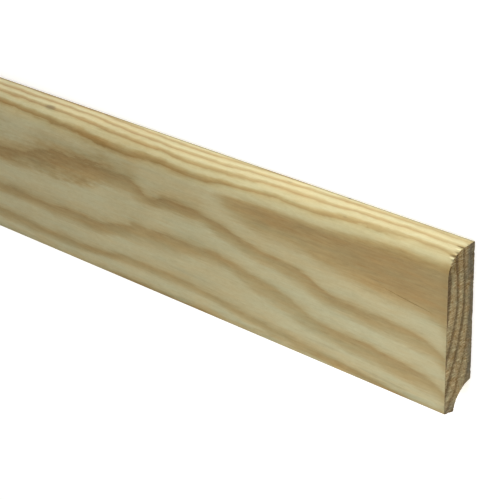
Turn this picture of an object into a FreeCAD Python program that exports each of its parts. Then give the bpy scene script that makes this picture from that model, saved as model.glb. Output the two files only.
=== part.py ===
"""A length of planed softwood skirting board, sawn square at both ends.

The board lies on its back, as it would on a level floor: X runs along its length, Y from the foot (-Y)
to the rounded top (+Y), and Z up from the back (Z = 0) to the front face. The origin is the middle of the
back. Millimetres.

The section is one moulded outline: a flat front, a nose that rounds over into a gently crowned top, a flat
back, and along the foot of the back a hollow cove, which leaves room for a cable or an uneven floor corner.
"""

import FreeCAD
import Part

import math
import os

# Board
LENGTH = 2400.0
HEIGHT = 70.0
THICKNESS = 14.5

# Rounded top: a nose tangent to the front face, a crown that climbs to the back, and the eased back arris
NOSE_RADIUS = 11.6
NOSE_TURN = math.radians(70.0)
CROWN_RADIUS = 48.0
BACK_TOP_EASE = 0.4

# Cove along the foot of the back
FOOT_WIDTH = 5.3
COVE_HEIGHT = 11.9
COVE_RADIUS = 14.8

# Long arrises of the foot and the cove, eased by the planer and by handling
FRONT_FOOT_EASE = 0.5
BACK_FOOT_EASE = 0.7
COVE_LIP_EASE = 0.8

# Lines of the section
FOOT_Y = -HEIGHT / 2
TOP_Y = HEIGHT / 2
BACK_Z = 0.0
FRONT_Z = BACK_Z + THICKNESS


def section_point(y, z):
    """A point of the section, on the board's left end."""
    return FreeCAD.Vector(-LENGTH / 2, y, z)


def on_circle(centre, radius, angle):
    """The place at an angle round a circle of the section; the angle turns from +Z towards +Y."""
    y, z = centre
    return y + radius * math.sin(angle), z + radius * math.cos(angle)


def arc(centre, radius, start, end):
    """An arc of the section, between two angles round its centre."""
    places = [on_circle(centre, radius, angle) for angle in (start, (start + end) / 2, end)]
    return Part.Arc(*[section_point(*place) for place in places]).toShape()


def line(start, end):
    """A straight stretch of the section."""
    return Part.LineSegment(section_point(*start), section_point(*end)).toShape()


def top_rounding():
    """The nose, crown and eased back arris, each tangent to the next, and the place where the nose starts."""
    crown_to_nose = CROWN_RADIUS - NOSE_RADIUS
    crown_to_ease = CROWN_RADIUS - BACK_TOP_EASE
    crown_z = FRONT_Z - NOSE_RADIUS - crown_to_nose * math.cos(NOSE_TURN)
    ease_y = TOP_Y - BACK_TOP_EASE
    ease_z = BACK_Z + BACK_TOP_EASE
    crown_end = math.acos((ease_z - crown_z) / crown_to_ease)
    crown_y = ease_y - crown_to_ease * math.sin(crown_end)
    nose_y = crown_y + crown_to_nose * math.sin(NOSE_TURN)
    nose = arc((nose_y, FRONT_Z - NOSE_RADIUS), NOSE_RADIUS, 0.0, NOSE_TURN)
    crown = arc((crown_y, crown_z), CROWN_RADIUS, NOSE_TURN, crown_end)
    back_ease = arc((ease_y, ease_z), BACK_TOP_EASE, crown_end, math.pi)
    return [nose, crown, back_ease], (nose_y, FRONT_Z)


def cove_arc(lip, heel):
    """The hollow from the back face (lip) to the foot's underside (heel); its centre is outside the wood."""
    span_y = heel[0] - lip[0]
    span_z = heel[1] - lip[1]
    span = math.hypot(span_y, span_z)
    rise = math.sqrt(COVE_RADIUS**2 - (span / 2) ** 2)
    middle = ((lip[0] + heel[0]) / 2, (lip[1] + heel[1]) / 2)
    centre = (middle[0] - rise * span_z / span, middle[1] + rise * span_y / span)
    start, end = [math.atan2(place[0] - centre[0], place[1] - centre[1]) for place in (lip, heel)]
    return arc(centre, COVE_RADIUS, start, end)


def corners():
    """The three sharp corners round the foot and the cove, before they are eased: (y, z)."""
    return {
        "front_foot": (FOOT_Y, FRONT_Z),
        "back_foot": (FOOT_Y, FRONT_Z - FOOT_WIDTH),
        "cove_lip": (FOOT_Y + COVE_HEIGHT, BACK_Z),
    }


def section():
    """The closed outline of the board's section, as a face."""
    corner = corners()
    rounding, nose_start = top_rounding()
    edges = [
        line(corner["front_foot"], nose_start),
        *rounding,
        line((TOP_Y - BACK_TOP_EASE, BACK_Z), corner["cove_lip"]),
        cove_arc(corner["cove_lip"], corner["back_foot"]),
        line(corner["back_foot"], corner["front_foot"]),
    ]
    return Part.Face(Part.Wire(Part.__sortEdges__(edges)))


def ease(board, place, radius):
    """Rounds the long arris that runs through one corner of the section."""
    nearness = 1e-4
    corner = section_point(*place)
    along = [
        edge
        for edge in board.Edges
        if edge.Length > 0.9 * LENGTH and edge.distToShape(Part.Vertex(corner))[0] < nearness
    ]
    return board.makeFillet(radius, along)


def skirting_board():
    """The whole board: its section drawn out along X, with eased long arrises and square sawn ends."""
    board = section().extrude(FreeCAD.Vector(LENGTH, 0, 0))
    corner = corners()
    board = ease(board, corner["front_foot"], FRONT_FOOT_EASE)
    board = ease(board, corner["back_foot"], BACK_FOOT_EASE)
    board = ease(board, corner["cove_lip"], COVE_LIP_EASE)
    return board


os.makedirs("parts", exist_ok=True)
board = skirting_board()
assert board.isValid(), "the board is not a valid solid"
print("skirting_board", "solids", len(board.Solids), "volume mm3", round(board.Volume), board.BoundBox)
board.exportStep("parts/skirting_board.step")
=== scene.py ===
"""Dresses a planed pine skirting board that lies on its back: the moulded section, the sawn ends with their
torn fibres, and the wood itself as a solid, so that one set of growth rings shows on every face.

Lengths are in millimetres in the board's own frame, and become metres in the finished mesh. X runs along the
length, Y from the foot to the rounded top, and Z from the back to the front face. "Up the board" is the
distance from the foot edge, "along" is the distance from the right end, which is negative to the left of it,
and "deep" is the distance behind the front face.
"""

import math
import random
from collections import namedtuple

import bmesh
import bpy
import numpy as np
from mathutils import Matrix, Vector, noise
from mathutils.geometry import delaunay_2d_cdt


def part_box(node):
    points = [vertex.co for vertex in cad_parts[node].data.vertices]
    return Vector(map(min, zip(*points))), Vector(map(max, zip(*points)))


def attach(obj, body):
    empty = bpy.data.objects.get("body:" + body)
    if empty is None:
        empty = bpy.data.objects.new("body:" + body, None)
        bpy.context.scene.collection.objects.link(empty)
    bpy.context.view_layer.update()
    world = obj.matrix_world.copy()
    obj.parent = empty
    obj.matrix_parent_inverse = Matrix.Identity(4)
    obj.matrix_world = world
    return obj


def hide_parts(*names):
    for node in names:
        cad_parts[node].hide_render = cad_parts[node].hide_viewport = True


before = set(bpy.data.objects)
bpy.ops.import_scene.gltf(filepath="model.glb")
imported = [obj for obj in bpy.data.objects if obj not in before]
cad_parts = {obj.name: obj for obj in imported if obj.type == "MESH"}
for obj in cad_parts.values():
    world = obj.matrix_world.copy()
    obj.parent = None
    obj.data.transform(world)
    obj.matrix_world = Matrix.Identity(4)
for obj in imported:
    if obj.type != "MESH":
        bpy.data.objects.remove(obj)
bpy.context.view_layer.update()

MM = 0.001
NODE = "skirting_board"
SEED = 11

# Board, from the frame
LOW, HIGH = [np.array(corner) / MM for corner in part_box(NODE)]
LEFT_END, FOOT_Y, BACK_Z = LOW
RIGHT_END, TOP_Y, FRONT_Z = HIGH

# Section, as the construction has it
NOSE_RADIUS = 11.6
NOSE_TURN = math.radians(70.0)
CROWN_RADIUS = 48.0
BACK_TOP_EASE = 0.4
FOOT_WIDTH = 5.3
COVE_HEIGHT = 11.9
COVE_RADIUS = 14.8
FRONT_FOOT_EASE = 0.5
BACK_FOOT_EASE = 0.7
COVE_LIP_EASE = 0.8

# Mesh round the outline and along the board, and how near two places count as one
OUTLINE_STEP = 0.4
NOSE_STEP = 0.28
EASE_STEPS = 5
FIRST_SPAN = 0.35
SPAN_GROWTH = 1.24
LONGEST_SPAN = 60.0
TOUCHING = 1e-6

# Mesh inside the sawn ends: its step, and in shares of it, how far its points are scattered and how clear of
# the outline they stay
CAP_STEP = 0.38
CAP_SCATTER = 0.3
CAP_CLEARANCE = 0.6

# Map for baking, in shares of its sides: the long faces as one sheet, cut open along the back's top arris,
# and above it the two sawn ends side by side. The stretches near the ends get more room than their length.
BAKE_MAP = "OFBake"
MAP_EDGE = 0.004
MAP_SIDES_TOP = 0.845
MAP_NEAR_END = 60.0
MAP_NEAR_END_SHARE = 0.07
MAP_ENDS_FROM = 0.857
MAP_ENDS_HEIGHT = 0.139
MAP_RIGHT_END_FROM = 0.51
MAP_END_WIDTH = 0.486

# Sawn ends: how deep the saw's marks go, and their sizes up the board and through it
SAW_DEPTH = 0.13
SAW_WAVE = 0.05
SAW_WAVE_SIZE = (9.0, 9.0)
SAW_GRAIN = 0.06
SAW_GRAIN_SIZE = (0.9, 1.4)
SAW_TOOTH = 0.04
TOOTH_PITCH = 0.9
TOOTH_TILT = 0.18
TOOTH_WOBBLE = 3.0
TOOTH_WOBBLE_SIZE = (7.0, 7.0)

# Rims of the sawn ends: how far the fibres stand back there, small nicks, and how far in all marks reach
FRAY = 0.07
FRAY_VARIES = 0.06
NICKS_PER_END = 60
NICK_LENGTHS = (0.5, 2.6)
NICK_WIDTHS = (0.45, 0.8)
NICK_HEIGHTS = (-0.16, -0.04)
REACH = 6.0

# Fibres torn at the right end, as (place (y, z), length, width, height). Below zero, wood is missing.
TORN_FIBRES = [
    ((30.9, 10.8), 4.2, 0.7, -0.48), ((30.1, 11.5), 3.2, 0.45, 0.30), ((29.5, 11.9), 1.8, 0.5, -0.28),
    ((33.45, 6.1), 5.2, 0.6, -0.58), ((32.8, 7.7), 3.6, 0.55, 0.30), ((32.1, 9.2), 3.2, 0.45, -0.34),
    ((31.5, 10.1), 3.2, 0.5, 0.28), ((28.2, 12.9), 1.2, 0.6, -0.22), ((34.2, 3.4), 2.0, 0.6, -0.25),
    ((3.0, 0.0), 1.6, 1.6, -0.45),
    ((-19.0, 0.0), 1.0, 1.0, -0.35), ((15.0, 0.0), 0.8, 0.9, -0.25), ((-35.0, 12.0), 1.0, 0.8, -0.25),
]

# Studio: light all round, how bright the backdrop looks, the floor's colour, glow and half-width in metres,
# and the colours of its lights
SKY = 0.20
BACKDROP = 0.92
FLOOR_COLOUR = (0.85, 0.85, 0.85, 1.0)
FLOOR_GLOW = 0.58
FLOOR_REACH = 60.0
WHITE = (1.0, 1.0, 1.0)
WARM = (1.0, 0.985, 0.89)

# Camera, with the nearest and farthest things it sees in metres
CAMERA_PLACE = Vector((1791.876, 330.425, 621.610))
CAMERA_LOOKS = Vector((-0.71763, -0.33067, -0.61291))
CAMERA_LENS = 166.1
SENSOR = 36.0
SEEN = (0.05, 200.0)

# Growth rings where they cross the front face, as (along, up the board). A ring ends at its sharp dark edge,
# and its latewood, or summer wood, starts lower down.
RING_ONE_ENDS = [
    (-300, 41.5), (-285, 43.8), (-270, 48), (-257, 49.8), (-245, 50.4), (-232, 51), (-208, 50),
    (-196, 46.5), (-187, 43.9), (-178, 46.5), (-158, 46.2), (-147, 44.8), (-125, 41.2), (-115, 39.7),
    (-95, 37.8), (-85, 36.7), (-79, 34.7), (-72, 32.2), (-65, 31.1), (-50, 30.5), (-35, 30.2), (-15, 28.8),
    (-9, 27.2), (0, 23),
]
RING_ONE_DARKENS = [
    (-300, 34), (-285, 36), (-250, 36.7), (-238, 38.3), (-224, 42), (-208, 43), (-190, 40), (-160, 41.5),
    (-140, 38.5), (-120, 34.5), (-100, 33), (-88, 31.3), (-75, 27.5), (-50, 24.5), (-10, 22), (0, 18),
]
RING_TWO_ENDS = [
    (-300, 22.5), (-285, 21.6), (-250, 22.7), (-230, 21.4), (-213, 24.5), (-205, 26.2), (-197, 29),
    (-187, 28), (-175, 28.9), (-155, 29.5), (-145, 30), (-135, 28.5), (-125, 27.6), (-115, 26.4), (-95, 23),
    (-86, 19.3), (-78, 17.6), (-65, 16.8), (-50, 17), (-35, 15.6), (-15, 13.6), (-6, 11.3), (0, 8),
]
RING_TWO_DARKENS = [
    (-300, 18), (-280, 17.8), (-240, 16.8), (-208, 19.5), (-170, 22.5), (-145, 24.5), (-120, 20.2),
    (-100, 16.5), (-80, 12), (-40, 8.5), (0, 5),
]
RING_THREE_ENDS = [
    (-300, 9.5), (-285, 9), (-268, 7.6), (-250, 8.4), (-225, 9), (-215, 10.2), (-205, 11.2), (-165, 11.5),
    (-155, 10.4), (-145, 9.2), (-130, 7.8), (-110, 6.1), (-90, 5), (-75, 4.3), (-60, 3.6), (-45, 2.4),
    (-30, 1), (0, -1),
]
RING_THREE_DARKENS = [
    (-300, 5.5), (-268, 4.6), (-225, 6.3), (-205, 7.6), (-160, 7.4), (-130, 5.6), (-120, 4.5), (-90, 2.4),
    (-70, 1.3), (-60, 0.6), (-40, -1), (0, -4),
]
TRACED_RINGS = [
    (RING_THREE_DARKENS, RING_THREE_ENDS),
    (RING_TWO_DARKENS, RING_TWO_ENDS),
    (RING_ONE_DARKENS, RING_ONE_ENDS),
]
RING_SPACING = 3.5
LATEWOOD_DEPTH = 1.3
LOWEST_SLOPE = 0.34

# Growth past the end of ring one, as (along, millimetres of radius): at the top of the front face, on the
# nose and on the crown, then the heights up the board where each holds, and the whole of the outermost year
RIDGE = [
    (-300, 1.9), (-280, 1.6), (-262, 1.15), (-250, 1.1), (-235, 0.9), (-222, 0.5), (-205, 0.5), (-195, 0.9),
    (-185, 1.2), (-175, 1.05), (-165, 1.0), (-155, 1.1), (-145, 1.8), (-135, 2.6), (-125, 3.0),
    (-110, 3.35), (-100, 3.35), (-90, 3.4), (-80, 3.45), (-70, 3.5), (-60, 3.7), (-50, 4.05), (-20, 4.65),
    (0, 4.7),
]
NOSE_GROWTH = [
    (-300, 1.6), (-275, 1.45), (-250, 1.05), (-235, 0.7), (-222, 0.4), (-205, 0.4), (-195, 0.5),
    (-185, 0.5), (-175, 0.15), (-165, -0.15), (-157, -0.2), (-150, 0), (-142, 0.3), (-135, 0.55),
    (-125, 0.85), (-115, 1.6), (-95, 1.8), (-75, 1.9), (-65, 2.5), (-45, 3.35), (-35, 3.5), (-20, 4.0),
    (0, 3.9),
]
CROWN_GROWTH = [
    (-300, 2.1), (-250, 1.8), (-225, 1.1), (-200, 0.1), (-170, -0.2), (-150, 0.2), (-140, 0.7), (-110, 2.2),
    (-80, 3.1), (-50, 3.9), (-20, 4.4), (0, 4.1),
]
RIDGE_HEIGHT = 58.0
NOSE_HEIGHT = 65.0
CROWN_HEIGHT = 69.0
OUTERMOST_YEAR = 5.6

# Rest of the length, past where the rings are traced: a log of this radius, with its middle this far up the
# board, tapering, and where the traced stretch passes into it
TRACED_FROM = -300.0
LOG_FROM = (TRACED_FROM - 20, TRACED_FROM - 160)
LOG_RADIUS = 140.0
LOG_MIDDLE = 57.0
LOG_TAPER = 0.0042
LOG_GROWTH = 2.1

# Rings are wider than RING_SPACING inside the board, most of all low down: millimetres of radius for one of
# depth, and the heights between which that changes
DEPTH_SCALES = (0.72, 0.93)
DEPTH_SCALE_CHANGES = (20.0, 46.0)

# Left stretch of ring one, whose upper edge is soft and mottled
MOTTLED = (-200.0, -235.0)
SOFT_EDGE = 1.6

# At the right end the outermost year is thicker halfway up the board
SHOULDER = 0.85
SHOULDER_HEIGHTS = (28.0, 44.0, 44.0, 58.0)
SHOULDER_LENGTH = 60.0

# How much sooner the outermost latewood starts on the front face, in millimetres of radius
EARLY_RIGHT = 0.3
EARLY_LEFT = 0.7

# How dark the latewood is: ring one along the board, the older rings, and the outermost one
RING_ONE_SHADE = [
    (-300, 0.86), (-270, 0.87), (-225, 0.90), (-213, 0.86), (-203, 0.78), (-195, 0.75), (-180, 0.87),
    (-165, 0.86), (-153, 0.81), (-142, 0.79), (-120, 0.71), (-80, 0.72), (-40, 0.64), (-12, 0.62),
    (0, 0.56),
]
OLDER_SHADE = 0.69
OUTERMOST_SHADE = 0.79

# How the shade changes through a year, as (share of the year, shade): an older year, from the last one's
# dark edge to its own, the start of the outermost year, and the rest of it
YEAR_SHADES = [
    (0.0, 0.90), (0.03, 0.72), (0.07, 0.50), (0.14, 0.28), (0.26, 0.09), (0.42, 0.0), (0.55, 0.04),
    (0.63, 0.32), (0.71, 0.61), (0.83, 0.84), (0.93, 0.97), (0.98, 1.0),
]
OUTERMOST_START_SHADES = [(0.0, 0.90), (0.02, 0.72), (0.05, 0.50), (0.10, 0.28), (0.18, 0.10), (0.30, 0.0)]
OUTERMOST_END_SHADES = [
    (0.40, 0.0), (0.46, 0.13), (0.53, 0.42), (0.58, 0.69), (0.67, 0.87), (0.72, 1.0), (0.98, 1.0),
    (1.0, 0.5),
]

# Colours of the planed and the sawn wood, as (shade, colour), of dirt and painted deep shade, and of greyed
# wood
PLANED_COLOURS = [
    (0.0, (0.620, 0.548, 0.314)), (0.28, (0.556, 0.458, 0.236)), (0.56, (0.482, 0.364, 0.163)),
    (0.8, (0.410, 0.279, 0.110)), (1.0, (0.325, 0.205, 0.066)),
]
SAWN_COLOURS = [
    (0.0, (0.389, 0.296, 0.145)), (0.2, (0.345, 0.257, 0.122)), (0.42, (0.227, 0.158, 0.070)),
    (0.60, (0.152, 0.099, 0.041)), (0.85, (0.140, 0.091, 0.037)),
]
DIRT_AND_SHADE = (0.020, 0.017, 0.012, 1.0)
GREYED = (0.166, 0.160, 0.119, 1.0)

# Small dark marks, as (along, y, z), half-lengths, rise for each millimetre along, and how dark: a pin knot,
# specks of bark and dirt, and faint streaks of resin low on the front
MARKS = [
    ((-272.0, 32.5, 8.4), (5.0, 2.0, 2.0), 0.0, 0.36),
    ((-106.0, 34.3, 3.3), (2.2, 0.5, 0.5), 0.0, 0.22),
    ((-71.5, 34.9, 0.6), (1.6, 0.6, 0.6), 0.0, 0.42),
    ((-63.8, 31.0, 10.5), (1.5, 0.4, 0.4), 0.0, 0.14),
    ((-40.5, 10.7, 14.5), (6.0, 0.3, 1.0), -0.04, 0.14),
    ((-36.5, -30.7, 14.5), (17.0, 0.7, 3.0), -0.055, 0.13),
    ((-71.0, -26.6, 14.5), (18.0, 0.7, 3.0), -0.012, 0.09),
    ((-161.0, -19.6, 14.5), (20.0, 0.8, 3.0), -0.03, 0.08),
]

# Broad soft shades in the wood, as (along, up the board), half-lengths, how much duller the pale wood is,
# and how much warmer all of it is
SHADES = [
    ((-212, 62), (52, 9), 0.070, 0.0),
    ((-78, 44), (62, 9), 0.045, 0.03),
    ((-206, 35.5), (24, 8), 0.065, 0.0),
    ((-262, 54), (24, 6), 0.060, 0.0),
    ((-38, 42), (32, 9), 0.0, 0.055),
    ((-75, 20), (55, 14), 0.0, -0.05),
    ((-150, 35), (38, 8), 0.0, -0.045),
    ((-244, 44), (26, 8), 0.0, 0.06),
    ((-217, 51), (34, 8), 0.0, -0.06),
]

# Ripples that the planer's knives leave across the board, and the height of each face's finest relief
KNIFE_PITCH = 2.1
PLANED_RELIEF = 0.07
SAWN_RELIEF = 0.2

# A drying check in the front face, as (along, up the board), and along the board where it starts, is fully
# open, starts to close and ends
CHECK = [(-38.0, 44.1), (-22.0, 42.35), (-8.0, 40.9)]
CHECK_OPENS = (-38.0, -32.5, -9.5, -8.0)
CHECK_HALF_WIDTH = 0.2
CHECK_DEPTH = 0.18

# The mesh's rows bend to follow the check, as far up and down as its pull, between the four places along the
# board in its reach. From a little before it to a little past it, closer stations replace the usual ones.
CHECK_PULL = 8.0
CHECK_REACH = (-60.0, -42.0, -6.0, -2.0)
CHECK_STEP = 2.0
CHECK_BEYOND = (3.0, 2.0)
CHECK_CLEARANCE = (2.0, 1.5)

# A sawn end of the board, which faces outward along X, and a point in the wood
End = namedtuple("End", "x outward seed marks")
Spot = namedtuple("Spot", "place along up deep")


def on_circle(centre, radius, angle):
    """The place (y, z) at an angle round a circle of the section; the angle turns from +Z towards +Y."""
    return centre[0] + radius * math.sin(angle), centre[1] + radius * math.cos(angle)


def arc(centre, radius, start, end, step=OUTLINE_STEP):
    """Places along an arc of the section, both ends included."""
    count = max(4, round(abs(end - start) * radius / step)) + 1
    return [on_circle(centre, radius, angle) for angle in np.linspace(start, end, count)]


def line(start, end):
    """Places along a straight stretch of the section, both ends included."""
    count = max(1, round(math.dist(start, end) / OUTLINE_STEP)) + 1
    return [tuple(place) for place in np.linspace(start, end, count)]


def top_rounding():
    """The nose, the crown and the back's eased top arris, each tangent to the next."""
    crown_to_nose = CROWN_RADIUS - NOSE_RADIUS
    crown_to_ease = CROWN_RADIUS - BACK_TOP_EASE
    crown_z = FRONT_Z - NOSE_RADIUS - crown_to_nose * math.cos(NOSE_TURN)
    ease = (TOP_Y - BACK_TOP_EASE, BACK_Z + BACK_TOP_EASE)
    crown_end = math.acos((ease[1] - crown_z) / crown_to_ease)
    crown_y = ease[0] - crown_to_ease * math.sin(crown_end)
    nose_y = crown_y + crown_to_nose * math.sin(NOSE_TURN)
    nose = arc((nose_y, FRONT_Z - NOSE_RADIUS), NOSE_RADIUS, 0.0, NOSE_TURN, NOSE_STEP)
    crown = arc((crown_y, crown_z), CROWN_RADIUS, NOSE_TURN, crown_end, NOSE_STEP)
    return nose, crown, arc(ease, BACK_TOP_EASE, crown_end, math.pi)


def cove(lip, heel):
    """The hollow along the foot of the back; its centre lies outside the wood."""
    span = np.subtract(heel, lip)
    rise = math.sqrt(COVE_RADIUS**2 - (np.hypot(*span) / 2) ** 2)
    across = np.array((-span[1], span[0])) / np.hypot(*span)
    centre = np.add(lip, heel) / 2 + rise * across
    start, end = [math.atan2(place[0] - centre[0], place[1] - centre[1]) for place in (lip, heel)]
    return arc(centre, COVE_RADIUS, start, end)


def trimmed(run, length):
    """A run of places with a length taken off its end."""
    run = [np.array(place) for place in run]
    while np.linalg.norm(run[-1] - run[-2]) < length:
        length -= np.linalg.norm(run[-1] - run[-2])
        run.pop()
    step = run[-2] - run[-1]
    run[-1] = run[-1] + step * (length / np.linalg.norm(step))
    return [tuple(place) for place in run]


def eased_corner(before, after, radius):
    """Two runs that meet at a sharp corner, with the corner rounded: (run before, rounding, run after)."""
    into = np.subtract(before[-1], before[-2])
    out = np.subtract(after[1], after[0])
    turn = math.acos(np.dot(into, out) / np.linalg.norm(into) / np.linalg.norm(out))
    setback = radius * math.tan(turn / 2)
    corner = np.array(before[-1])
    before = trimmed(before, setback)
    after = trimmed(after[::-1], setback)[::-1]
    start, end = np.array(before[-1]), np.array(after[0])
    middle = (start + end) / 2
    away = (middle - corner) / np.linalg.norm(middle - corner)
    centre = corner + away * (radius / math.cos(turn / 2))
    rounding = []
    for share in np.linspace(0, 1, EASE_STEPS + 1)[1:-1]:
        spoke = start + (end - start) * share - centre
        rounding.append(tuple(centre + spoke * (radius / np.linalg.norm(spoke))))
    return before, rounding, after


def section():
    """The outline of the board's section as (y, z) places, once round from the foot up the front."""
    nose, crown, back_ease = top_rounding()
    front_foot = (FOOT_Y, FRONT_Z)
    back_foot = (FOOT_Y, FRONT_Z - FOOT_WIDTH)
    lip = (FOOT_Y + COVE_HEIGHT, BACK_Z)
    front = line(front_foot, nose[0])
    back = line(back_ease[-1], lip)
    hollow = cove(lip, back_foot)
    underside = line(back_foot, front_foot)
    back, lip_ease, hollow = eased_corner(back, hollow, COVE_LIP_EASE)
    hollow, heel_ease, underside = eased_corner(hollow, underside, BACK_FOOT_EASE)
    underside, foot_ease, front = eased_corner(underside, front, FRONT_FOOT_EASE)
    top = [*front[:-1], *nose[:-1], *crown[:-1], *back_ease[:-1]]
    return [*top, *back, *lip_ease, *hollow, *heel_ease, *underside, *foot_ease]


def stations():
    """Places along the length for the mesh's rings of points, close together at the ends and the check."""
    steps = [0.0]
    gap = FIRST_SPAN
    while gap < LONGEST_SPAN:
        steps.append(steps[-1] + gap)
        gap *= SPAN_GROWTH
    middle = RIGHT_END - LEFT_END - 2 * steps[-1]
    count = round(middle / LONGEST_SPAN)
    left = [LEFT_END + step for step in steps]
    right = [RIGHT_END - step for step in reversed(steps)]
    usual = [*left, *np.linspace(left[-1], right[0], count + 1)[1:-1], *right]
    start = RIGHT_END + CHECK_OPENS[0] - CHECK_BEYOND[0]
    closer = list(np.arange(start, RIGHT_END + CHECK_OPENS[-1] + CHECK_BEYOND[1], CHECK_STEP))
    low, high = closer[0] - CHECK_CLEARANCE[0], closer[-1] + CHECK_CLEARANCE[1]
    return sorted([x for x in usual if not low < x < high] + closer)


def check_opening(along):
    """How open the drying check is at a place along the board, from 0 to 1."""
    return np.interp(along, CHECK_OPENS, (0, 1, 1, 0))


def check_row(outline):
    """Which of the outline's places the drying check runs through, by its height halfway along."""
    front = [n for n, (_, z) in enumerate(outline) if z > FRONT_Z - TOUCHING]
    return min(front, key=lambda n: abs(outline[n][0] - FOOT_Y - CHECK[1][1]))


def bent_row(up, middle, along):
    """Where a row of the front face's points lies up the board, once the middle row follows the check."""
    off = up - middle
    bend = max(0.0, 1 - (off / CHECK_PULL) ** 2) ** 2
    follow = np.interp(along, CHECK_REACH, (0, 1, 1, 0))
    shift = bend * follow * (np.interp(along, *zip(*CHECK)) - middle)
    if 0 < abs(off) < 1.5 * OUTLINE_STEP:
        shift += (math.copysign(CHECK_HALF_WIDTH, off) - off) * check_opening(along)
    return up + shift


def nearest(places, place):
    """The distance from a place to the nearest of others, which are an array."""
    return float(np.min(np.hypot(*(places - place).T)))


def is_inside(place, polygon):
    """True if a place lies inside a closed polygon, by the even-odd rule."""
    y, z = place
    here, there = polygon, np.roll(polygon, -1, axis=0)
    crosses = (here[:, 1] > z) != (there[:, 1] > z)
    rise = np.where(there[:, 1] == here[:, 1], 1.0, there[:, 1] - here[:, 1])
    at = here[:, 0] + (z - here[:, 1]) / rise * (there[:, 0] - here[:, 0])
    return bool(np.sum(crosses & (at > y)) % 2)


def cap_places(outline):
    """Triangles that fill the section, as (places, triangles), with the outline's own places first."""
    rng = random.Random(SEED)
    polygon = np.array(outline)
    inside = []
    for y in np.arange(FOOT_Y + CAP_STEP / 2, TOP_Y, CAP_STEP):
        for z in np.arange(BACK_Z + CAP_STEP / 2, FRONT_Z, CAP_STEP):
            scatter = [rng.uniform(-CAP_SCATTER, CAP_SCATTER) * CAP_STEP for _ in range(2)]
            place = np.array((y, z)) + scatter
            if nearest(polygon, place) > CAP_CLEARANCE * CAP_STEP and is_inside(place, polygon):
                inside.append(Vector(place))
    ring = [Vector(place) for place in outline]
    edges = [(n, (n + 1) % len(ring)) for n in range(len(ring))]
    places, _, faces, *_ = delaunay_2d_cdt(ring + inside, edges, [], 1, TOUCHING)
    return places, faces


def outward_normals(outline):
    """The way out of the wood at each place of the outline, which runs clockwise seen from the right end."""
    places = np.array(outline)
    ahead = np.roll(places, -1, axis=0) - np.roll(places, 1, axis=0)
    normals = np.stack((-ahead[:, 1], ahead[:, 0]), axis=1)
    return normals / np.linalg.norm(normals, axis=1)[:, None]


def end_marks(outline, traced, seed):
    """Torn fibres and nicks round one sawn end: those listed, and small ones anywhere."""
    rng = random.Random(seed)
    small = []
    for _ in range(NICKS_PER_END):
        place = outline[rng.randrange(len(outline))]
        sizes = [rng.uniform(*limits) for limits in (NICK_LENGTHS, NICK_WIDTHS, NICK_HEIGHTS)]
        small.append((place, *sizes))
    return traced + small


def worn(place, distance, marks):
    """How far the wood stands proud, mostly below zero, at a place of the outline this far from an end."""
    y, z = place
    fray = FRAY + FRAY_VARIES * noise.noise(Vector((y, z, 5.0)))
    height = -fray * max(0.0, 1 - distance / FIRST_SPAN)
    for (mark_y, mark_z), length, width, rise in marks:
        across = math.hypot(y - mark_y, z - mark_z) / width
        if across < 1 and distance < length:
            height += rise * (1 - across**2) ** 2 * (1 - distance / length)
    return height


def end_noise(y, z, size, seed):
    """Soft noise over a sawn end, from about -1 to 1, with features of this size."""
    return noise.noise(Vector((y / size[0], z / size[1], seed)))


def sawn_depth(y, z, seed):
    """How deep the saw has cut below the end's own plane: a slow wave, torn grain and its teeth's marks."""
    wave = end_noise(y, z, SAW_WAVE_SIZE, seed)
    grain = end_noise(y, z, SAW_GRAIN_SIZE, seed + 4)
    wobble = end_noise(y, z, TOOTH_WOBBLE_SIZE, seed + 8)
    tooth = math.sin(2 * math.pi * (y + TOOTH_TILT * z) / TOOTH_PITCH + TOOTH_WOBBLE * wobble)
    return max(0.0, SAW_DEPTH + SAW_WAVE * wave + SAW_GRAIN * grain + SAW_TOOTH * tooth)


def add_ring(mesh, outline, normals, x, end, middle):
    """Adds the mesh's points round the outline at one station, worn and torn as they are near a sawn end."""
    torn = mesh.verts.layers.float["torn"]
    distance = abs(end.x - x)
    ring = []
    for n, ((y, z), normal) in enumerate(zip(outline, normals)):
        on_front = z > FRONT_Z - TOUCHING
        height = worn((y, z), distance, end.marks) if distance < REACH else 0.0
        back = sawn_depth(y, z, end.seed) if distance == 0 else 0.0
        y, z = (y, z) + normal * height
        if on_front:
            y = FOOT_Y + bent_row(y - FOOT_Y, outline[middle][0] - FOOT_Y, x - RIGHT_END)
        if n == middle:
            z -= CHECK_DEPTH * check_opening(x - RIGHT_END)
        vert = mesh.verts.new(((x - end.outward * back) * MM, y * MM, z * MM))
        vert[torn] = height
        ring.append(vert)
    return ring


def map_rows(outline):
    """Where each stretch of the outline lies up the baking map, as (low, high), from the back's top on."""
    count = len(outline)
    steps = [math.dist(outline[n], outline[(n + 1) % count]) for n in range(count)]
    back_top = min(range(count), key=lambda n: math.dist(outline[n], (TOP_Y - BACK_TOP_EASE, BACK_Z)))
    scale = (MAP_SIDES_TOP - MAP_EDGE) / sum(steps)
    spots = {}
    low = MAP_EDGE
    for n in [(back_top + k) % count for k in range(count)]:
        spots[n] = (low, low + steps[n] * scale)
        low = spots[n][1]
    return [spots[n] for n in range(count)]


def map_columns(along):
    """Where each station lies across the baking map: the stretches near the ends get more room."""
    places = (LEFT_END, LEFT_END + MAP_NEAR_END, RIGHT_END - MAP_NEAR_END, RIGHT_END)
    spots = (MAP_EDGE, MAP_NEAR_END_SHARE, 1 - MAP_NEAR_END_SHARE, 1 - MAP_EDGE)
    return np.interp(along, places, spots)


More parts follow.
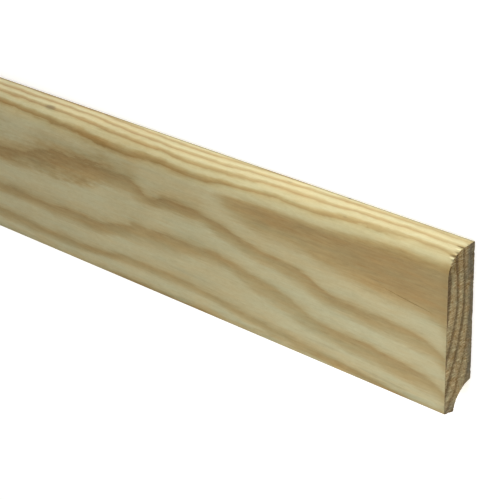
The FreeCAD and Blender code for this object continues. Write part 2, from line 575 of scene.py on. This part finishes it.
def add_long_faces(mesh, outline, along, rings, middle):
    """Adds the moulded faces between the rings of points, with sharp lips where the drying check is open."""
    bake_map = mesh.loops.layers.uv[BAKE_MAP]
    rows = map_rows(outline)
    columns = map_columns(along)
    for k, (before, after) in enumerate(zip(rings, rings[1:])):
        for n, (low, high) in enumerate(rows):
            m = (n + 1) % len(rows)
            face = mesh.faces.new((before[n], before[m], after[m], after[n]))
            left, right = columns[k], columns[k + 1]
            for loop, spot in zip(face.loops, ((left, low), (left, high), (right, high), (right, low))):
                loop[bake_map].uv = spot
        if np.any(check_opening(np.array(along[k:k + 2]) - RIGHT_END) > 0):
            for n in (middle - 1, middle + 1):
                mesh.edges.get((before[n], after[n])).smooth = False


def add_cap(mesh, outline, filling, ring, end):
    """Adds the face of a sawn end, finely meshed inside its ring of points."""
    bake_map = mesh.loops.layers.uv[BAKE_MAP]
    rim = mesh.verts.layers.float["rim"]
    edge = np.array(outline)
    places, triangles = filling
    verts = list(ring)
    for y, z in places[len(outline):]:
        vert = mesh.verts.new(((end.x - end.outward * sawn_depth(y, z, end.seed)) * MM, y * MM, z * MM))
        vert[rim] = nearest(edge, (y, z))
        verts.append(vert)
    map_from = MAP_RIGHT_END_FROM if end.outward > 0 else MAP_EDGE
    for corners in triangles:
        face = mesh.faces.new([verts[n] for n in corners])
        face.material_index = 1
        for loop in face.loops:
            _, y, z = loop.vert.co / MM
            across = (y - FOOT_Y if end.outward > 0 else TOP_Y - y) / (TOP_Y - FOOT_Y)
            rise = (z - BACK_Z) / (FRONT_Z - BACK_Z)
            loop[bake_map].uv = (map_from + across * MAP_END_WIDTH, MAP_ENDS_FROM + rise * MAP_ENDS_HEIGHT)


def board_mesh():
    """The board as one closed mesh: the moulded faces along it, and a finely meshed cap on each end."""
    outline = section()
    normals = outward_normals(outline)
    along = stations()
    middle = check_row(outline)
    ends = [
        End(LEFT_END, -1, SEED + 1, end_marks(outline, [], SEED + 1)),
        End(RIGHT_END, 1, SEED, end_marks(outline, TORN_FIBRES, SEED)),
    ]
    mesh = bmesh.new()
    mesh.verts.layers.float.new("torn")
    mesh.verts.layers.float.new("rim")
    mesh.loops.layers.uv.new(BAKE_MAP)
    rings = []
    for x in along:
        nearer = min(ends, key=lambda end: abs(end.x - x))
        rings.append(add_ring(mesh, outline, normals, x, nearer, middle))
    add_long_faces(mesh, outline, along, rings, middle)
    filling = cap_places(outline)
    add_cap(mesh, outline, filling, rings[-1], ends[1])
    add_cap(mesh, outline, filling, rings[0], ends[0])
    bmesh.ops.recalc_face_normals(mesh, faces=mesh.faces)
    for face in mesh.faces:
        face.smooth = True
    made = bpy.data.meshes.new("pine_board")
    mesh.to_mesh(made)
    mesh.free()
    return made


class Graph:
    """Adds shader nodes to a tree. A value is a plain number or a node's output."""

    def __init__(self, tree):
        self.tree = tree
        tree.nodes.clear()

    def node(self, kind, values=(), **settings):
        """A node with its settings, and with values for the inputs that are named or numbered."""
        made = self.tree.nodes.new("ShaderNode" + kind)
        for name, setting in settings.items():
            setattr(made, name, setting)
        for name, value in dict(values).items():
            self.give(made.inputs[name], value)
        return made

    def give(self, socket, value):
        """Links an output to an input, or sets the input's own value."""
        if isinstance(value, bpy.types.NodeSocket):
            self.tree.links.new(value, socket)
        else:
            socket.default_value = value

    def math(self, operation, *values):
        return self.node("Math", enumerate(values), operation=operation).outputs[0]

    def add(self, *values):
        total = values[0]
        for value in values[1:]:
            total = self.math("ADD", total, value)
        return total

    def times(self, *values):
        total = values[0]
        for value in values[1:]:
            total = self.math("MULTIPLY", total, value)
        return total

    def less(self, one, other):
        return self.math("SUBTRACT", one, other)

    def over(self, one, other):
        return self.math("DIVIDE", one, other)

    def mixed(self, *parts):
        """The sum of parts, each a value and its strength."""
        return self.add(*[self.times(value, strength) for value, strength in parts])

    def share(self, value, start, end, kind="LINEAR"):
        """How far a value has come from start to end, from 0 to 1."""
        values = {"Value": value, "From Min": start, "From Max": end}
        return self.node("MapRange", values, interpolation_type=kind, clamp=True).outputs[0]

    def soft_share(self, value, start, end):
        """The same with a gentle start and finish."""
        return self.share(value, start, end, "SMOOTHSTEP")

    def band(self, value, start, full, ebb, end):
        """1 from full to ebb, and on either side a gentle fall to 0, at start and at end."""
        return self.times(self.soft_share(value, start, full), self.soft_share(value, end, ebb))

    def nearness(self, values, centres, halves):
        """1 at a centre, with a gentle fall to 0 on the oval round it that has these half-lengths."""
        squares = []
        for value, centre, half in zip(values, centres, halves):
            off = self.over(self.less(value, centre), half)
            squares.append(self.times(off, off))
        return self.soft_share(self.add(*squares), 1.0, 0.0)

    def between(self, factor, start, end):
        """A number on the way from start to end."""
        values = {"Factor": factor, 2: start, 3: end}
        return self.node("Mix", values, data_type="FLOAT", clamp_factor=False).outputs[0]

    def blend(self, factor, under, over, how="MIX"):
        """One colour over another."""
        values = {0: factor, 6: under, 7: over}
        return self.node("Mix", values, data_type="RGBA", blend_type=how).outputs[2]

    def curve(self, value, points):
        """The height of a smooth line through listed points (place, height)."""
        places, heights = zip(*points)
        low, high = min(heights), max(heights)
        made = self.node("FloatCurve", {"Value": self.share(value, places[0], places[-1])})
        track = made.mapping.curves[0]
        for n, (place, height) in enumerate(points):
            spot = ((place - places[0]) / (places[-1] - places[0]), (height - low) / (high - low))
            if n < 2:
                track.points[n].location = spot
            else:
                track.points.new(*spot)
        for point in track.points:
            point.handle_type = "AUTO_CLAMPED"
        made.mapping.update()
        return self.add(low, self.times(made.outputs[0], high - low))

    def ramp(self, value, stops):
        """A colour, or a grey, from stops (place, colour or grey) with straight steps between."""
        made = self.node("ValToRGB", {"Fac": value})
        ramp = made.color_ramp
        while len(ramp.elements) < len(stops):
            ramp.elements.new(0.5)
        for element, (place, colour) in zip(ramp.elements, stops):
            element.position = place
            element.color = (*(colour if isinstance(colour, tuple) else (colour,) * 3), 1.0)
        return made.outputs["Color"]

    def vector(self, x, y, z):
        return self.node("CombineXYZ", {0: x, 1: y, 2: z}).outputs[0]

    def stretched(self, place, lengths):
        """The place in units that are as long as each feature is along X, Y and Z."""
        values = {0: place, 1: [1.0 / length for length in lengths]}
        return self.node("VectorMath", values, operation="MULTIPLY").outputs[0]

    def noise(self, place, lengths, detail=2.0, rough=0.5):
        """Soft noise from about -1 to 1, with features of these lengths."""
        place = self.stretched(place, lengths)
        values = {"Vector": place, "Scale": 1.0, "Detail": detail, "Roughness": rough}
        return self.node("TexNoise", values, noise_dimensions="3D", normalize=False).outputs[0]


def spot_in_wood(graph):
    """The point on the wood in millimetres, as a vector and as along, up and deep."""
    place = graph.stretched(graph.node("TexCoord").outputs["Object"], (MM, MM, MM))
    x, y, z = graph.node("SeparateXYZ", {0: place}).outputs
    return Spot(place, graph.less(x, RIGHT_END), graph.less(y, FOOT_Y), graph.less(FRONT_Z, z))


def traced_growth(graph, at):
    """Growth where the rings are traced, near the right end: up the front face, then over nose and crown."""
    crossings = []
    ends = -2 * RING_SPACING
    for darkens, finishes in TRACED_RINGS:
        crossings.append((ends - LATEWOOD_DEPTH, graph.curve(at.along, darkens)))
        crossings.append((ends, graph.curve(at.along, finishes)))
        ends += RING_SPACING
    lowest_level, lowest = crossings[0]
    growth = graph.times(graph.less(graph.math("MINIMUM", at.up, lowest), lowest), LOWEST_SLOPE)
    growth = graph.add(growth, lowest_level)
    for (level, below), (next_level, above) in zip(crossings, crossings[1:]):
        growth = graph.add(growth, graph.times(graph.share(at.up, below, above), next_level - level))
    ridge, nose, crown = [graph.curve(at.along, points) for points in (RIDGE, NOSE_GROWTH, CROWN_GROWTH)]
    rise = graph.share(at.up, crossings[-1][1], RIDGE_HEIGHT)
    crest = graph.times(ridge, rise, graph.less(2.0, rise))
    to_nose = graph.times(graph.less(nose, ridge), graph.share(at.up, RIDGE_HEIGHT, NOSE_HEIGHT))
    to_crown = graph.times(graph.less(crown, nose), graph.share(at.up, NOSE_HEIGHT, CROWN_HEIGHT))
    return graph.add(growth, crest, to_nose, to_crown)


def log_growth(graph, at):
    """Growth in the rest of the length: a tapering log with slow bends."""
    off = graph.less(at.up, LOG_MIDDLE)
    bow = graph.times(off, off, -0.5 / LOG_RADIUS)
    slope = graph.times(graph.less(at.along, TRACED_FROM), LOG_TAPER)
    bends = graph.times(graph.noise(at.place, (260, 60, 60), 1.0), 2.6)
    waves = graph.times(graph.noise(at.place, (75, 22, 22), 1.0), 0.9)
    return graph.add(LOG_GROWTH, slope, bow, bends, waves)


def growth_level(graph, at, shoulder, mottled, on_top):
    """Millimetres of radius grown since ring one ended, which is below zero in the older years."""
    traced, rest = traced_growth(graph, at), log_growth(graph, at)
    growth = graph.between(graph.soft_share(at.along, *LOG_FROM), traced, rest)
    scale = graph.between(graph.soft_share(at.up, *DEPTH_SCALE_CHANGES), *DEPTH_SCALES)
    level = graph.less(growth, graph.times(at.deep, scale))
    streaks = graph.times(graph.noise(at.place, (14, 0.6, 0.6)), 0.15)
    wander = graph.times(graph.noise(at.place, (22, 5, 5), 1.0), 0.20)
    top_waves = graph.times(graph.noise(at.place, (9, 4, 4)), on_top, 0.38)
    edge = graph.times(graph.share(at.up, 32, 38), graph.less(1.0, on_top))
    ragged = graph.times(graph.noise(at.place, (6, 1.4, 1.4), rough=0.6), mottled, edge, 0.28)
    return graph.add(level, shoulder, streaks, wander, top_waves, ragged)


def ring_one_shade(graph, at):
    """How dark ring one is: as set along the board, and a little darker on a stretch of the nose."""
    stretch = graph.times(graph.share(at.along, -245, -225), graph.share(at.along, -160, -185))
    on_nose = graph.times(stretch, graph.share(at.up, 58, 60.5), 0.10)
    return graph.add(graph.curve(at.along, RING_ONE_SHADE), on_nose)


def older_shade(graph, at, level, on_top, near_end):
    """How dark the rings inside ring one are, which varies slowly and differs a little from ring to ring."""
    slow = graph.times(graph.noise(at.place, (140, 30, 30), 1.0), 0.08)
    top_left = graph.times(on_top, graph.share(at.along, -110, -220), 0.11)
    third = graph.times(graph.share(level, -4.8, -5.2), graph.share(at.deep, 6, 2), -0.06)
    second = graph.times(graph.band(at.along, -130, -108, -80, -62), graph.share(level, -5.2, -4.8))
    second = graph.times(second, graph.share(at.up, 40, 30), -0.10)
    return graph.add(OLDER_SHADE, slow, top_left, near_end, third, second)


def outermost_start(graph, at, level, mottled):
    """How ring one's dark edge fades into the outermost year, softly on its mottled stretch."""
    sharp = graph.ramp(graph.over(level, OUTERMOST_YEAR), OUTERMOST_START_SHADES)
    soft = graph.times(graph.share(level, SOFT_EDGE, -0.1), 0.9)
    return graph.between(graph.times(mottled, graph.share(at.up, 58, 54)), sharp, soft)


def outermost_latewood(graph, at, level, shoulder):
    """How dark the outermost year's latewood is, from 0 to 1; it starts sooner on the front face."""
    sooner = graph.between(graph.soft_share(at.along, -50, -100), EARLY_RIGHT, EARLY_LEFT)
    sooner = graph.times(sooner, graph.share(at.up, 60.3, 56.5))
    grown = graph.add(graph.less(level, shoulder), sooner)
    return graph.ramp(graph.over(grown, OUTERMOST_YEAR), OUTERMOST_END_SHADES)


def growth_group():
    """The tree's growth as a solid: how late in its year each point grew, and fine fibres."""
    tree = bpy.data.node_groups.new("pine_growth", "ShaderNodeTree")
    graph = Graph(tree)
    for name in ("Latewood", "Level", "Fibre"):
        tree.interface.new_socket(name, in_out="OUTPUT", socket_type="NodeSocketFloat")
    at = spot_in_wood(graph)
    on_top = graph.share(at.up, RIDGE_HEIGHT, NOSE_HEIGHT)
    mottled = graph.soft_share(at.along, *MOTTLED)
    swell = graph.band(at.up, *SHOULDER_HEIGHTS)
    shoulder = graph.times(swell, graph.soft_share(at.along, -SHOULDER_LENGTH, 0), SHOULDER)
    near_end = graph.times(graph.share(at.along, -22, 0), -0.16)
    level = growth_level(graph, at, shoulder, mottled, on_top)

    ring_one = ring_one_shade(graph, at)
    older = older_shade(graph, at, level, on_top, near_end)
    in_ring_one = graph.math("GREATER_THAN", level, -RING_SPACING)
    season = graph.math("FRACT", graph.over(level, RING_SPACING))
    inner = graph.times(graph.ramp(season, YEAR_SHADES), graph.between(in_ring_one, older, ring_one))
    paler = graph.times(graph.share(at.along, -75, -45), -0.05)
    outermost = graph.add(OUTERMOST_SHADE, paler, graph.times(near_end, 0.25))
    outer = graph.mixed(
        (outermost_start(graph, at, level, mottled), ring_one),
        (outermost_latewood(graph, at, level, shoulder), outermost),
    )
    latewood = graph.between(graph.math("GREATER_THAN", level, 0.0), inner, outer)
    fibre = graph.noise(at.place, (18, 0.4, 0.4), 3.0, 0.6)
    out = tree.nodes.new("NodeGroupOutput")
    for name, value in (("Latewood", latewood), ("Level", level), ("Fibre", fibre)):
        graph.give(out.inputs[name], value)
    return tree


def shader(name):
    """A new material's graph, with nothing in it."""
    material = bpy.data.materials.new(name)
    material.use_nodes = True
    return material, Graph(material.node_tree)


def tinted(graph, colour, tone, warmth):
    """A wood colour, lighter or darker by a tone round zero, redder as it darkens, and warmer by warmth."""
    tints = []
    for strength, turn in ((0.8, 0.5), (1.0, -0.25), (1.35, -1.0)):
        tints.append(graph.add(1.0, graph.times(tone, strength), graph.times(warmth, turn)))
    return graph.blend(1.0, colour, graph.vector(*tints), "MULTIPLY")


def small_marks(graph, at):
    """How dark the small marks make each point, from 0."""
    y, z = graph.add(at.up, FOOT_Y), graph.less(FRONT_Z, at.deep)
    dark = 0.0
    for centre, halves, lean, depth in MARKS:
        leaning = graph.less(y, graph.times(graph.less(at.along, centre[0]), lean)) if lean else y
        near = graph.nearness((at.along, leaning, z), centre, halves)
        dark = graph.add(dark, graph.times(near, depth))
    return dark


def broad_shades(graph, at):
    """How much duller and how much warmer the broad shades make each point."""
    dull, warm = 0.0, 0.0
    for centre, halves, duller, warmer in SHADES:
        near = graph.nearness((at.along, at.up), centre, halves)
        dull = graph.add(dull, graph.times(near, duller)) if duller else dull
        warm = graph.add(warm, graph.times(near, warmer)) if warmer else warm
    return dull, warm


def drying_check(graph, at):
    """A hairline split in the front face, from 0 beside it to 1 in it."""
    line_up = CHECK[0][1]
    for (start, low), (end, high) in zip(CHECK, CHECK[1:]):
        line_up = graph.add(line_up, graph.times(graph.share(at.along, start, end), high - low))
    off = graph.math("ABSOLUTE", graph.less(at.up, line_up))
    near = graph.soft_share(off, CHECK_HALF_WIDTH + 0.06, 0.05)
    return graph.times(near, graph.band(at.along, *CHECK_OPENS), graph.share(at.deep, 1.2, 0.6))


def finish(graph, colour, rough, gloss, relief, strength, height):
    """Ends a wood material: its colour, roughness and gloss, and its relief as a bump of this height."""
    bump = graph.node("Bump", {"Height": relief, "Strength": strength, "Distance": height * MM}).outputs[0]
    surface = graph.node("BsdfPrincipled", {
        "Base Color": colour, "Roughness": rough, "Normal": bump, "Specular IOR Level": gloss,
    })
    graph.node("OutputMaterial", {"Surface": surface.outputs[0]})


def planed_figure(graph, at, latewood, fibre, hairs, streaks):
    """How much lighter the fine figure makes each point of a planed face, from fibres up to soft clouds."""
    clouds = graph.noise(at.place, (60, 9, 9))
    mottle = graph.noise(at.place, (2.6, 1.0, 1.0), rough=0.6)
    patches = graph.noise(at.place, (13, 3.2, 3.2), rough=0.6)
    streaky = graph.add(0.03, graph.times(latewood, 0.09))
    return graph.mixed(
        (fibre, 0.04), (hairs, 0.03), (streaks, streaky), (clouds, 0.03), (mottle, 0.045), (patches, 0.035),
    )


def planed_shade(graph, at, latewood, streaks, duller):
    """How much darker the foot, the nose, the sawn side and broad dull places make a planed face, with
    painted shade on the foot's arris and on a band of the nose.
    """
    foot = graph.soft_share(graph.add(at.up, streaks), 4.2, 0.8)
    # Painted shade: a thin dark line on the foot's arris
    shaded_foot_arris = graph.share(at.up, 0.7, 0.1)
    # Painted shade: a darker band along the nose
    nose = graph.band(at.up, 58, 60, 63, 64.5)
    sawn_side = graph.soft_share(graph.add(at.along, graph.times(streaks, 1.5)), -5.0, 0.0)
    middle = graph.times(graph.band(at.along, -205, -180, -140, -15), graph.share(at.up, 66, 60))
    low = graph.times(graph.band(at.up, 2, 8, 12, 22), graph.share(at.along, -195, -225))
    dull = graph.add(graph.mixed((middle, 0.045), (low, 0.04)), duller)
    pale = graph.less(1.0, latewood)
    return graph.mixed((foot, 0.16), (shaded_foot_arris, 0.16), (nose, 0.05), (sawn_side, 0.10), (dull, pale))


def planed_pine(growth):
    """The planed faces: pale earlywood, tan latewood, fine fibres, resin canals and a slight sheen."""
    material, graph = shader("planed_pine")
    at = spot_in_wood(graph)
    rings = graph.node("Group", node_tree=growth)
    latewood, fibre = rings.outputs["Latewood"], rings.outputs["Fibre"]
    hairs = graph.noise(at.place, (9, 0.22, 0.22))
    streaks = graph.noise(at.place, (10, 1.2, 1.2), rough=0.6)
    canals = graph.soft_share(graph.noise(at.place, (7, 0.2, 0.2), 0.0), 0.50, 0.66)
    check = drying_check(graph, at)
    torn = graph.node("Attribute", attribute_name="torn").outputs["Fac"]
    pits = graph.share(torn, -0.03, -0.25)
    duller, warmer = broad_shades(graph, at)

    figure = planed_figure(graph, at, latewood, fibre, hairs, streaks)
    lifted = graph.share(torn, 0.02, 0.12)
    canal_strength = graph.add(0.08, graph.times(latewood, 0.16))
    shade = planed_shade(graph, at, latewood, streaks, duller)
    # Painted shade: the drying check is darkened inside the split, and the pits where torn wood is missing
    dark = graph.add(graph.mixed((canals, canal_strength), (check, 0.22), (pits, 0.15)), shade)
    tone = graph.less(graph.add(figure, graph.times(lifted, 0.45)), dark)
    varies = graph.add(0.05, graph.mixed((latewood, 0.06), (graph.share(at.up, 7, 1), 0.08)))
    warmth = graph.add(graph.times(graph.noise(at.place, (24, 3.5, 3.5), rough=0.6), varies), warmer)
    wood = tinted(graph, graph.ramp(latewood, PLANED_COLOURS), tone, warmth)

    # Painted shade: a dark line along the back's top arris, blended towards the dirt and shade colour
    # together with the small marks and the pits
    arris = graph.times(graph.soft_share(at.deep, 12.9, 13.9), graph.soft_share(at.up, 69.2, 69.7), 0.40)
    dirt_and_shade = graph.add(small_marks(graph, at), arris, graph.times(pits, 0.42))
    colour = graph.blend(graph.math("MINIMUM", dirt_and_shade, 0.8), wood, DIRT_AND_SHADE)
    knife = graph.math("SINE", graph.times(at.along, 2 * math.pi / KNIFE_PITCH))
    relief = graph.mixed(
        (fibre, 0.35), (hairs, 0.35), (latewood, 0.6), (knife, 0.12), (graph.add(canals, check), -0.8),
    )
    rough = graph.add(0.5, graph.mixed((fibre, 0.06), (latewood, -0.06), (pits, 0.3)))
    finish(graph, colour, rough, 0.35, relief, strength=0.6, height=PLANED_RELIEF)
    return material


def sawn_pine(growth):
    """The sawn ends: the same rings, darker and duller, with tooth marks, loose fibres and grimy rims."""
    material, graph = shader("sawn_pine")
    at = spot_in_wood(graph)
    rings = graph.node("Group", node_tree=growth)
    faint = graph.between(graph.soft_share(rings.outputs["Level"], -5, -6), 1.0, 0.75)
    latewood = graph.times(rings.outputs["Latewood"], faint)
    slanted = graph.vector(at.along, graph.add(at.up, graph.times(at.deep, -TOOTH_TILT)), at.deep)
    ladder = graph.noise(slanted, (4.0, 0.55, 3.0), 1.0)
    scratches = graph.soft_share(graph.noise(slanted, (4.0, 0.605, 4.8), 1.0), -0.22, -0.50)
    speckle = graph.noise(at.place, (0.8, 0.8, 0.8), 3.0, 0.7)
    blotches = graph.noise(at.place, (5, 4, 3), rough=0.6)
    rim = graph.node("Attribute", attribute_name="rim").outputs["Fac"]

    threads = graph.soft_share(ladder, 0.15, 0.5)
    top_front = graph.times(graph.share(at.deep, 6, 4), graph.share(at.up, 53, 57))
    fuzz = graph.times(graph.share(rim, 1.3, 0.2), top_front)
    light = graph.mixed((speckle, 0.40), (ladder, 0.29), (blotches, 0.14), (threads, 0.40), (fuzz, 0.22))

    rim_grime = graph.soft_share(graph.add(rim, graph.times(speckle, 0.25)), 0.9, 0.0)
    behind = graph.between(graph.share(at.deep, 0.5, 1.6), 0.04, 0.22)
    uneven_deep = graph.add(at.deep, graph.times(blotches, 1.2))
    back = graph.soft_share(uneven_deep, 10.2, 14)
    corner = graph.times(graph.soft_share(uneven_deep, 8.5, 12), graph.soft_share(at.up, 48, 60))
    foot = graph.soft_share(graph.add(at.up, graph.times(blotches, 1.5)), 8.0, 1.0)
    brow = graph.times(graph.soft_share(at.up, 56, 61), graph.share(at.deep, 9.5, 2))
    dark = graph.mixed(
        (rim_grime, behind), (back, 0.28), (corner, 0.25), (foot, 0.22), (brow, 0.38),
        (scratches, graph.add(0.16, graph.times(corner, 0.40))),
    )

    warmth = graph.times(graph.noise(at.place, (6, 5, 3.5), rough=0.6), 0.16)
    wood = tinted(graph, graph.ramp(latewood, SAWN_COLOURS), graph.less(light, dark), warmth)
    greyed = graph.times(graph.add(graph.math("MAXIMUM", back, corner), graph.times(foot, 0.7)), 0.58)
    colour = graph.blend(graph.math("MINIMUM", greyed, 1.0), wood, GREYED)
    relief = graph.add(speckle, graph.mixed((ladder, 0.8), (latewood, 0.6)))
    finish(graph, colour, 0.85, 0.25, relief, strength=0.7, height=SAWN_RELIEF)
    return material


def link(name, data):
    """A new object in the scene, with a mesh, a light or a camera as its data."""
    made = bpy.data.objects.new(name, data)
    bpy.context.scene.collection.objects.link(made)
    return made


def board():
    """The whole board, in the place of the construction's."""
    made = link("pine_skirting_board", board_mesh())
    growth = growth_group()
    made.data.materials.append(planed_pine(growth))
    made.data.materials.append(sawn_pine(growth))
    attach(made, "root")
    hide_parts(NODE)


def floor():
    """A wide pale floor under the board's back, with a faint glow of its own."""
    mesh = bpy.data.meshes.new("floor")
    corners = ((-1, -1), (1, -1), (1, 1), (-1, 1))
    mesh.from_pydata([(x * FLOOR_REACH, y * FLOOR_REACH, 0) for x, y in corners], [], [(0, 1, 2, 3)])
    made = link("floor", mesh)
    material, graph = shader("pale_floor")
    surface = graph.node("BsdfPrincipled", {
        "Base Color": FLOOR_COLOUR, "Roughness": 0.9, "Emission Color": (*WHITE, 1.0),
        "Emission Strength": FLOOR_GLOW,
    })
    graph.node("OutputMaterial", {"Surface": surface.outputs[0]})
    mesh.materials.append(material)


def add_light(name, kind, place, aim, colour):
    """A light at a place, turned towards another, which the camera doesn't see."""
    light = bpy.data.lights.new(name, kind)
    light.color = colour
    made = link(name, light)
    made.location = Vector(place) * MM
    made.rotation_mode = "QUATERNION"
    made.rotation_quaternion = (Vector(aim) - Vector(place)).to_track_quat("-Z", "Y")
    made.visible_camera = False
    return light


def softbox(name, place, aim, size, power, colour=WHITE):
    """A rectangular soft light."""
    light = add_light(name, "AREA", place, aim, colour)
    light.shape = "RECTANGLE"
    light.size, light.size_y = size[0] * MM, size[1] * MM
    light.energy = power


def far_light(name, place, strength, width, colour=WHITE):
    """An even light from the direction of a place, as wide in the sky as this many degrees."""
    light = add_light(name, "SUN", place, (0, 0, 0), colour)
    light.energy = strength
    light.angle = math.radians(width)


def lights():
    """Even studio light over the whole length, and two softboxes near the right end."""
    far_light("studio_overhead", (0, -1500, 3000), strength=0.96, width=60)
    far_light("studio_key", (0, 3000, 200), strength=0.81, width=20, colour=WARM)
    key_x, high_x = RIGHT_END - 50, RIGHT_END - 20
    softbox("key_softbox", (key_x, 350, 42), aim=(key_x, 30, 12), size=(300, 70), power=0.68, colour=WARM)
    softbox("overhead_softbox", (high_x, -110, 230), aim=(high_x, -30, 0), size=(230, 190), power=0.22)


def backdrop():
    """Plain pale surroundings, brighter to look at than as light on the board."""
    world = bpy.data.worlds.new("studio")
    world.use_nodes = True
    graph = Graph(world.node_tree)
    seen = graph.node("LightPath").outputs["Is Camera Ray"]
    strength = graph.between(seen, SKY, BACKDROP)
    sky = graph.node("Background", {"Color": (*WHITE, 1.0), "Strength": strength})
    graph.node("OutputWorld", {"Surface": sky.outputs[0]})
    bpy.context.scene.world = world


def camera():
    """The photograph's view: the board's height runs up the picture, and its right end is nearest."""
    looks = CAMERA_LOOKS.normalized()
    right = looks.cross(Vector((0, 1, 0))).normalized()
    up = right.cross(looks)
    data = bpy.data.cameras.new("camera")
    data.lens = CAMERA_LENS
    data.sensor_width = SENSOR
    data.clip_start, data.clip_end = SEEN
    made = link("camera", data)
    turned = Matrix((right, up, -looks)).transposed().to_4x4()
    made.matrix_world = Matrix.Translation(CAMERA_PLACE * MM) @ turned
    bpy.context.scene.camera = made


board()
floor()
lights()
backdrop()
camera()
bpy.context.scene.view_settings.view_transform = "Standard"
